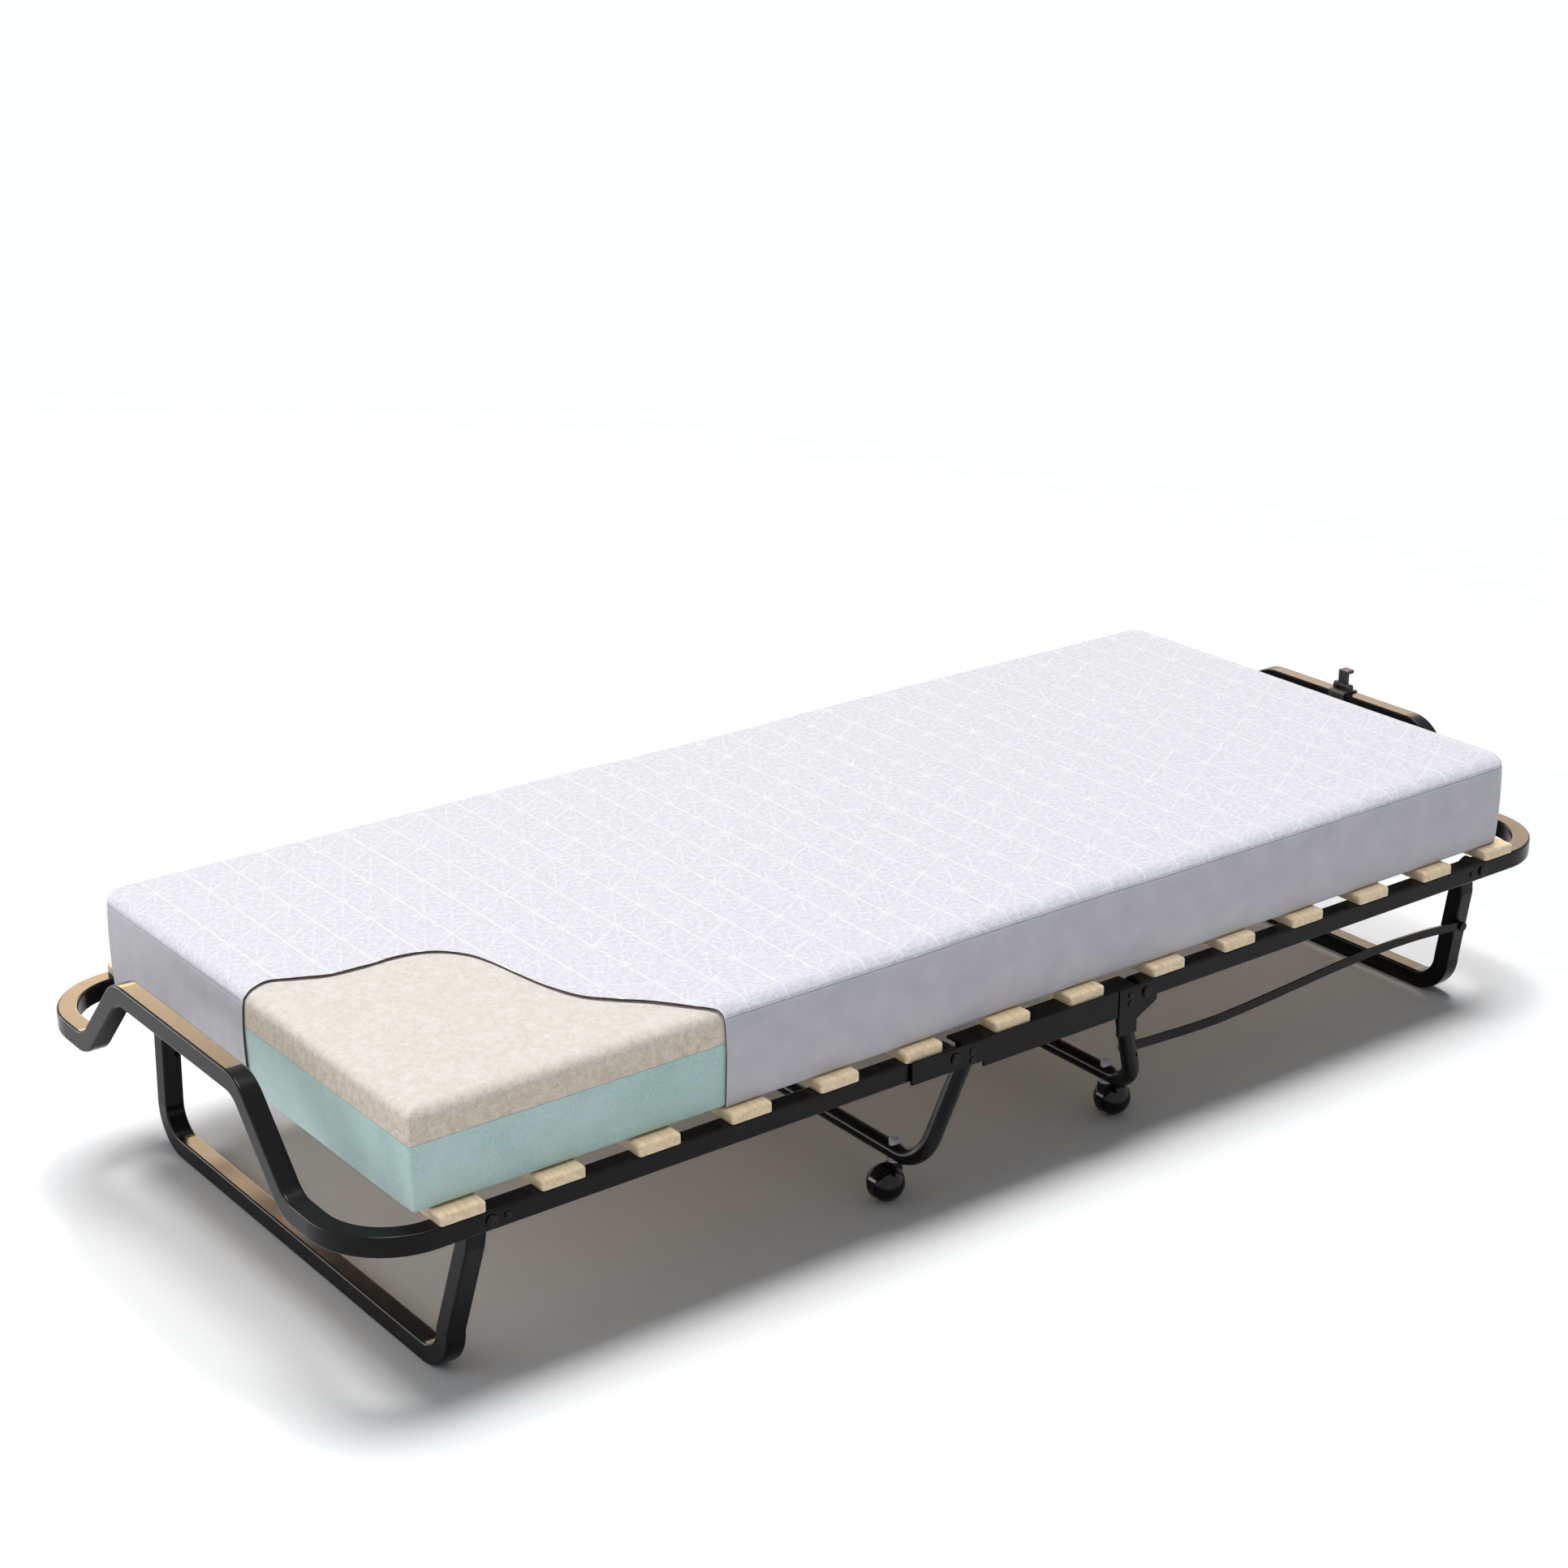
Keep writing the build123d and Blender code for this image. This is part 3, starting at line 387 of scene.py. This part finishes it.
def cut_line():
    """Unrolled line of the wavy cut, from the end border's foot over the top to the near border's foot."""
    end_x, near_y = inset_low - skin_run - 0.01
    marks = [(end_x, CUT_LEFT_Y), (end_x + 0.05, CUT_LEFT_Y + 0.002), (low.x - 0.04, CUT_LEFT_Y + 0.003)]
    marks += [(low.x, CUT_LEFT_Y + 0.002), *CUT_ON_TOP]
    marks += [(CUT_NEAR_X - 0.003, low.y), (CUT_NEAR_X, low.y - 0.04)]
    marks += [(CUT_NEAR_X, near_y + 0.05), (CUT_NEAR_X, near_y)]
    marks = np.array(marks)
    fine = []
    for k in range(len(marks) - 1):
        a, b = marks[max(k - 1, 0)], marks[k]
        c, d = marks[k + 1], marks[min(k + 2, len(marks) - 1)]
        for t in np.linspace(0, 1, max(2, int(np.linalg.norm(c - b) / 0.005)), endpoint=False):
            bend, twist = 2 * a - 5 * b + 4 * c - d, 3 * b - a - 3 * c + d
            fine.append(0.5 * (2 * b + (c - a) * t + bend * t**2 + twist * t**3))
    return np.array([*fine, marks[-1]])


def inside(points, ring):
    """True for points within a closed ring."""
    x, y = points[:, 0], points[:, 1]
    hits = np.zeros(len(points), bool)
    for (ax, ay), (bx, by) in zip(ring, np.roll(ring, -1, axis=0)):
        crosses = (ay > y) != (by > y)
        hits ^= crosses & (x < (bx - ax) * (y - ay) / (by - ay if by != ay else 1e-12) + ax)
    return hits


def seam_stitches(side, thread):
    """Lockstitches in a row just above the seam, set out along its path, leaving out the opened corner."""
    way = -1 if side == "left" else 1
    run = seam_at - STITCH_ABOVE
    end_x = inset_low[0] if side == "left" else inset_high[0]
    corner = np.linspace(0, math.pi / 2, 12)
    far = [(x, inset_high[1] + run) for x in np.linspace(0, end_x, 60)]
    far += [(end_x + way * run * math.sin(t), inset_high[1] + run * math.cos(t)) for t in corner]
    if side == "left":
        paths = [far + [(end_x - run, y) for y in np.linspace(inset_high[1], CUT_LEFT_Y + 0.004, 20)]]
        paths.append([(x, inset_low[1] - run) for x in np.linspace(CUT_NEAR_X + 0.004, 0, 40)])
    else:
        turn = [(end_x + run * math.cos(t), inset_low[1] - run * math.sin(t)) for t in corner]
        near = [(x, inset_low[1] - run) for x in np.linspace(end_x, 0, 60)]
        end = [(end_x + run, y) for y in np.linspace(inset_high[1], inset_low[1], 40)]
        paths = [far + end + turn + near]
    bm = bmesh.new()
    for path in paths:
        verts = [bm.verts.new(p) for p in skin(np.array(path))[0]]
        for a, b in zip(verts, verts[1:]):
            bm.edges.new((a, b))
    route = link_mesh(f"{side}_seam_route", bm)
    tree = bpy.data.node_groups.new("stitches_on_a_route", "GeometryNodeTree")
    sockets = {}
    for name, kind in (("Route", "Geometry"), ("Pitch", "Float"), ("Size", "Vector")):
        kind = f"NodeSocket{kind}"
        sockets[name] = tree.interface.new_socket(name=name, in_out="INPUT", socket_type=kind).identifier
    tree.interface.new_socket(name="Stitches", in_out="OUTPUT", socket_type="NodeSocketGeometry")
    given = add(tree, "NodeGroupInput").outputs
    curve = add(tree, "GeometryNodeMeshToCurve", {"Mesh": given["Route"]})
    spacing = {"Curve": curve.outputs["Curve"], "Length": given["Pitch"]}
    spots = add(tree, "GeometryNodeCurveToPoints", spacing, mode="LENGTH")
    bead = add(tree, "GeometryNodeMeshUVSphere", {"Segments": 6, "Rings": 4, "Radius": 1.0})
    laid = add(
        tree,
        "GeometryNodeInstanceOnPoints",
        {
            "Points": spots.outputs["Points"],
            "Instance": bead.outputs["Mesh"],
            "Rotation": spots.outputs["Rotation"],
            "Scale": given["Size"],
        },
    )
    real = add(tree, "GeometryNodeRealizeInstances", {"Geometry": laid.outputs["Instances"]})
    sewn = add(tree, "GeometryNodeSetMaterial", {"Geometry": real.outputs["Geometry"], "Material": thread})
    add(tree, "NodeGroupOutput", {"Stitches": sewn.outputs["Geometry"]})
    layout = route.modifiers.new("stitches", "NODES")
    layout.node_group = tree
    layout[sockets["Pitch"]] = STITCH_PITCH
    layout[sockets["Size"]] = (STITCH_THICK, STITCH_THICK, STITCH_LONG)
    bpy.context.view_layer.update()
    made = bpy.data.meshes.new_from_object(route.evaluated_get(bpy.context.evaluated_depsgraph_get()))
    route.modifiers.remove(layout)
    bpy.data.objects.remove(route)
    return made


def cover_columns(way):
    """Places along the bed of the skin's columns, closer where it folds."""
    step = QUILT_PITCH / COLUMNS_PER_QUILT
    reach = inset_high[0] if way > 0 else -inset_low[0]
    columns = list(np.arange(0, reach - step / 2, step))
    columns += [c + step / 2 for c in columns if FOLD_FROM - step < c < FOLD_TO]
    return way * np.array(sorted(columns) + [reach])


def cover_half(side, top, border, edge, thread):
    """One half of the cover's skin, with its thickness, and its cut edge where it is laid open."""
    way = -1 if side == "left" else 1
    columns = cover_columns(way)
    rows = np.linspace(inset_low[1], inset_high[1], int((inset_high[1] - inset_low[1]) / ROW_STEP))
    flat = [(x, y) for x in columns for y in rows]
    end_x = columns[-1]
    for run in ring_rows[1:]:
        flat += [(x, inset_low[1] - run) for x in columns] + [(x, inset_high[1] + run) for x in columns]
        flat += [(end_x + way * run, y) for y in rows]
        for turn in np.linspace(0, math.pi / 2, 7)[1:-1]:
            for y, up in ((inset_low[1], -1), (inset_high[1], 1)):
                flat.append((end_x + way * run * math.cos(turn), y + up * run * math.sin(turn)))
    flat = np.array(flat)
    edges = []
    cut = cut_line() if side == "left" else None
    if cut is not None:
        gap = np.min(np.linalg.norm(flat[:, None, :] - cut[None, :, :], axis=2), axis=1)
        flat = flat[gap > CUT_CLEAR]
        hull = np.linalg.norm(cut - np.clip(cut, inset_low, inset_high), axis=1) < skin_run - 1e-4
        first = len(flat)
        kept = cut[hull]
        foot = np.array(((inset_low[0] - skin_run, CUT_LEFT_Y), (CUT_NEAR_X, inset_low[1] - skin_run)))
        kept = np.vstack((foot[0], kept, foot[1]))
        flat = np.vstack((flat, kept))
        edges = [(first + k, first + k + 1) for k in range(len(kept) - 1)]
    made = delaunay_2d_cdt([Vector(p) for p in flat], edges, [], 0, 1e-6)
    points = np.array([tuple(v) for v in made[0]])
    faces = [f for f in made[2] if len(set(f)) == 3]
    middles = points[np.array(faces)].mean(axis=1)
    if cut is not None:
        corner = (inset_low - skin_run - 0.05).tolist()
        ring = np.vstack((cut, (cut[-1][0], corner[1]), corner, (corner[0], cut[0][1])))
        opened = inside(middles, ring)
        faces = [f for f, gone in zip(faces, opened) if not gone]
        middles = middles[~opened]
    place, run = skin(points)
    bm = bmesh.new()
    outer = [bm.verts.new(p) for p in place]
    middle_run = skin(middles)[1]
    for f, at in zip(faces, middle_run):
        made_face = bm.faces.new([outer[i] for i in f])
        made_face.material_index = 0 if at < seam_at else 1
    flat_of = {v: points[i] for i, v in enumerate(outer)}
    loose = [v for v in outer if not v.link_faces]
    bmesh.ops.delete(bm, geom=loose, context="VERTS")
    bm.normal_update()
    shell = [v for v in outer if v.is_valid]
    inner = {}
    for v in shell:
        inner[v] = bm.verts.new(v.co - v.normal * COVER_THICK)
        flat_of[inner[v]] = flat_of[v]
    rim = [e for e in bm.edges if e.is_boundary]
    rim_runs = [(e.link_loops[0].vert, e.link_loops[0].link_loop_next.vert) for e in rim]
    skin_faces = [list(f.verts) for f in bm.faces]
    kinds = [f.material_index for f in bm.faces]
    for ring_verts, kind in zip(skin_faces, kinds):
        bm.faces.new([inner[v] for v in reversed(ring_verts)]).material_index = kind
    for a, b in rim_runs:
        wall = bm.faces.new((b, a, inner[a], inner[b]))
        at_middle = abs(a.co.x) < 1e-5 and abs(b.co.x) < 1e-5
        at_foot = max(a.co.z, b.co.z) < low.z + 1e-4
        wall.material_index = 1 if at_middle or at_foot else 2
    layer = bm.loops.layers.uv.new("unrolled")
    for f in bm.faces:
        for loop in f.loops:
            loop[layer].uv = flat_of[loop.vert]
    skin_count = len(bm.faces)
    bm.from_mesh(seam_stitches(side, thread))
    bm.faces.ensure_lookup_table()
    for f in bm.faces[skin_count:]:
        f.material_index = 3
    piece = link_mesh(f"{side}_cover_skin", bm, top, border, edge, thread)
    fold_piece(piece)
    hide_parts(f"{side}_cover", "center_cover")


jacquard, tree, shader, coords = finish_named(
    "jacquard_top", Roughness=0.9, Specular_IOR_Level=0.2, Sheen_Weight=0.25, Sheen_Roughness=0.5
)
unrolled = add(tree, "ShaderNodeUVMap", uv_map="unrolled").outputs["UV"]
wobble = noise(tree, unrolled, 90, 2)
sway = spread(tree, noise(tree, unrolled, 40, 2), -0.0025, 0.0025)
LATTICE = (
    (0, QUILT_PITCH, 0.0011, 0.85),
    (60, QUILT_PITCH, 0.0010, 0.74),
    (-60, QUILT_PITCH, 0.0010, 0.74),
    (90, QUILT_PITCH / math.sqrt(3), 0.0008, 0.55),
    (30, QUILT_PITCH / math.sqrt(3), 0.0008, 0.55),
    (-30, QUILT_PITCH / math.sqrt(3), 0.0008, 0.55),
)
STROKE_BREAK = {"From Min": 0.40, "From Max": 0.56, "To Min": 0.22, "To Max": 1.0}
figure = None
for heading, pitch, half_width, weight in LATTICE:
    normal = (math.cos(math.radians(heading)), math.sin(math.radians(heading)), 0)
    along = add(tree, "ShaderNodeVectorMath", {0: unrolled, 1: normal}, operation="DOT_PRODUCT").outputs["Value"]
    along = add(tree, "ShaderNodeMath", {0: along, 1: sway}, operation="ADD").outputs["Value"]
    turns = add(tree, "ShaderNodeMath", {0: along, 1: pitch}, operation="DIVIDE").outputs["Value"]
    swing = add(tree, "ShaderNodeMath", {0: turns, 1: 0.5}, operation="PINGPONG").outputs["Value"]
    line = add(
        tree,
        "ShaderNodeMapRange",
        {"Value": swing, "From Min": 0.0, "From Max": half_width * 2 / pitch, "To Min": weight, "To Max": 0.0},
        interpolation_type="SMOOTHSTEP",
    ).outputs["Result"]
    if figure is None:
        figure = line
    else:
        patches = noise(tree, unrolled, 40 + heading / 6, 2)
        shown = add(tree, "ShaderNodeMapRange", {"Value": patches, **STROKE_BREAK}).outputs["Result"]
        line = add(tree, "ShaderNodeMath", {0: line, 1: shown}, operation="MULTIPLY").outputs["Value"]
        figure = add(tree, "ShaderNodeMath", {0: figure, 1: line}, operation="MAXIMUM").outputs["Value"]
wear = spread(tree, wobble, 0.55, 1.25)
worn = add(tree, "ShaderNodeMath", {0: figure, 1: wear}, operation="MULTIPLY").outputs["Value"]
knit = noise(tree, unrolled, 700, 2, 0.6, (1, 0.6, 1))
melange = noise(tree, unrolled, 170, 4, 0.65)
ground = tint(tree, melange, (0.685, 0.665, 0.715), (0.815, 0.795, 0.84), (0.4, 0.6))
top_colour = add(tree, "ShaderNodeMix", {"Factor": worn}, data_type="RGBA")
tree.links.new(ground, top_colour.inputs["A"])
top_colour.inputs["B"].default_value = (0.95, 0.945, 0.97, 1)
tree.links.new(top_colour.outputs["Result"], shader.inputs["Base Color"])
base_bump = relief(tree, shader, knit, 0.0006, 0.3)
relief(tree, shader, worn, 0.0006, 0.5, base_bump)

border_knit, tree, shader, coords = finish_named(
    "border_knit", Roughness=0.82, Specular_IOR_Level=0.25, Sheen_Weight=0.2, Sheen_Roughness=0.5
)
unrolled = add(tree, "ShaderNodeUVMap", uv_map="unrolled").outputs["UV"]
fine_knit = noise(tree, unrolled, 1100, 2, 0.6)
shade = noise(tree, unrolled, 26, 3, 0.5)
border_tone_and_painted_shade = add(tree, "ShaderNodeMix", {"Factor": 0.5, "A": fine_knit, "B": shade}).outputs["Result"]
# The border's grey lavender is set darker than its own tone to stand for the shade on the mattress's upright sides:
# partly its own colour, partly painted shade.
paint(tree, shader, border_tone_and_painted_shade, (0.515, 0.500, 0.535), (0.60, 0.583, 0.615), (0.36, 0.62))
relief(tree, shader, fine_knit, 0.0004, 0.3)

# The cover's cut edge is painted near-black brown: painted shade standing for the dark gap between the cover and
# the foam along the cut, with a little uneven fray in it.
cut_edge_painted_shade, tree, shader, coords = finish_named("cut_edge_painted_shade", Roughness=0.9, Specular_IOR_Level=0.15)
fray_in_painted_shade = noise(tree, coords, 300, 3, 0.6)
paint(tree, shader, fray_in_painted_shade, (0.05, 0.038, 0.03), (0.13, 0.10, 0.085))
relief(tree, shader, fray_in_painted_shade, 0.0005, 0.5)

thread, tree, shader, coords = finish_named("seam_thread", Roughness=0.6, Specular_IOR_Level=0.3)
twist = noise(tree, coords, 1400, 2, 0.6)
paint(tree, shader, twist, (0.52, 0.51, 0.57), (0.74, 0.73, 0.79))
for side in sides:
    cover_half(side, jacquard, border_knit, cut_edge_painted_shade, thread)

# Bottom panel: light grey woven cloth that closes the cover below.
# It is sewn to the border's foot, in one sheet for each half, and lies flat on the slats.
PANEL_THICK = 0.0014
panel_inset = FOOT_ROUND + BORDER_SWELL
panel_low = Vector((low.x + panel_inset, low.y + panel_inset + WAIST, low.z))
panel_high = Vector((high.x - panel_inset, high.y - panel_inset - WAIST, low.z + PANEL_THICK))
panel_finish, tree, shader, coords = finish_named("woven_bottom", Roughness=0.9, Specular_IOR_Level=0.2)
weave = noise(tree, coords, 1, 3, 0.6, (240, 700, 240))
paint(tree, shader, weave, (0.42, 0.42, 0.44), (0.66, 0.66, 0.68), (0.38, 0.62))
relief(tree, shader, weave, 0.0006, 0.4)
for side in sides:
    way = -1 if side == "left" else 1
    bm = bmesh.new()
    bmesh.ops.create_cube(bm, size=1)
    for v in bm.verts:
        v.co = Vector([panel_low[i] + (v.co[i] + 0.5) * (panel_high[i] - panel_low[i]) for i in range(3)])
    uprights = [e for e in bm.edges if abs(e.verts[0].co.z - e.verts[1].co.z) > PANEL_THICK / 2]
    bmesh.ops.bevel(bm, geom=uprights, offset=PLAN_CORNER - panel_inset, segments=6, profile=0.5, affect="EDGES")
    slice_half(bm, way, fold_cuts)
    bmesh.ops.recalc_face_normals(bm, faces=bm.faces[:])
    panel = link_mesh(f"{side}_bottom_panel", bm, panel_finish)
    fold_piece(panel)

# Studio: a plain white floor that keeps the soft shadow, a white surround and a broad lamp overhead.
# A weak lamp lights the head end, and three cards show only as reflections: two warm ones on the
# faces that look up, and a white one at the head end.
bm = bmesh.new()
bmesh.ops.create_grid(bm, x_segments=1, y_segments=1, size=30)
floor_finish = bpy.data.materials.new("studio_floor")
floor_finish.use_nodes = True
shader = floor_finish.node_tree.nodes["Principled BSDF"]
shader.inputs["Base Color"].default_value = (0.94, 0.94, 0.94, 1)
shader.inputs["Roughness"].default_value = 0.95
shader.inputs["Specular IOR Level"].default_value = 0.0
floor = link_mesh("studio_floor", bm, floor_finish)

world = bpy.data.worlds.new("studio")
bpy.context.scene.world = world
world.use_nodes = True
tree = world.node_tree
back = tree.nodes["Background"]
back.inputs["Color"].default_value = (0.74, 0.87, 1.0, 1)
back.inputs["Strength"].default_value = 0.18
white = add(tree, "ShaderNodeBackground", {"Color": (1, 1, 1, 1), "Strength": 1.0})
path = add(tree, "ShaderNodeLightPath").outputs
seen = add(tree, "ShaderNodeMath", {0: path["Is Camera Ray"], 1: path["Is Glossy Ray"]}, operation="MAXIMUM")
seen = add(tree, "ShaderNodeMath", {0: seen.outputs["Value"], 1: path["Is Transmission Ray"]}, operation="MAXIMUM")
pick = add(tree, "ShaderNodeMixShader", {"Fac": seen.outputs["Value"]})
tree.links.new(back.outputs["Background"], pick.inputs[1])
tree.links.new(white.outputs["Background"], pick.inputs[2])
tree.links.new(pick.outputs["Shader"], tree.nodes["World Output"].inputs["Surface"])


def lamp_at(name, data, place, aim):
    """Lamp at a place, aimed at a point."""
    lamp = bpy.data.objects.new(name, data)
    lamp.location = place
    lamp.rotation_mode = "QUATERNION"
    lamp.rotation_quaternion = (Vector(aim) - Vector(place)).to_track_quat("-Z", "Y")
    bpy.context.scene.collection.objects.link(lamp)
    return lamp


overhead = bpy.data.lights.new("overhead", "SUN")
overhead.energy = 2.85
overhead.angle = math.radians(26)
lamp_at("overhead", overhead, (0.3, 0.25, 3.0), (0, 0, 0))
head_fill = bpy.data.lights.new("head_fill", "AREA")
head_fill.size = 4.0
head_fill.energy = 40
lamp_at("head_fill", head_fill, (-4.0, 0.6, 1.6), (-0.8, 0, 0.25))
CARDS = (
    ("warm_card", (2.5, 1.5), (1.0, 0.70, 0.42), 122, (1.16, 3.33, 1.5), (-0.74, 0.38, 0.25)),
    ("foot_card", (3.4, 1.6), (1.0, 0.72, 0.46), 68, (4.2, 2.95, 2.0), (0.9, -0.1, 0.25)),
    ("head_card", (3.0, 1.0), (1.0, 1.0, 1.0), 90, (-3.0, 2.4, 0.6), (-0.9, 0, 0.25)),
)
for name, (wide, tall), colour, watts, place, aim in CARDS:
    card = bpy.data.lights.new(name, "AREA")
    card.shape = "RECTANGLE"
    card.size, card.size_y = wide, tall
    card.color = colour
    card.energy = watts
    reflected = lamp_at(name, card, place, aim)
    reflected.visible_diffuse = False
    reflected.visible_transmission = False

# Camera: at the place and with the lens that were fitted to the photograph.
# The view is perspective, and the whole depth is sharp.
camera_data = bpy.data.cameras.new("camera")
camera_data.sensor_width = 36
camera_data.lens = 66.02
camera = bpy.data.objects.new("camera", camera_data)
camera.location = (-2.149, -2.692, 1.707)
camera.rotation_mode = "QUATERNION"
camera.rotation_quaternion = Vector((0.5664, 0.7435, -0.3551)).to_track_quat("-Z", "Y")
bpy.context.scene.collection.objects.link(camera)
bpy.context.scene.camera = camera
bpy.context.scene.view_settings.view_transform = "Standard"
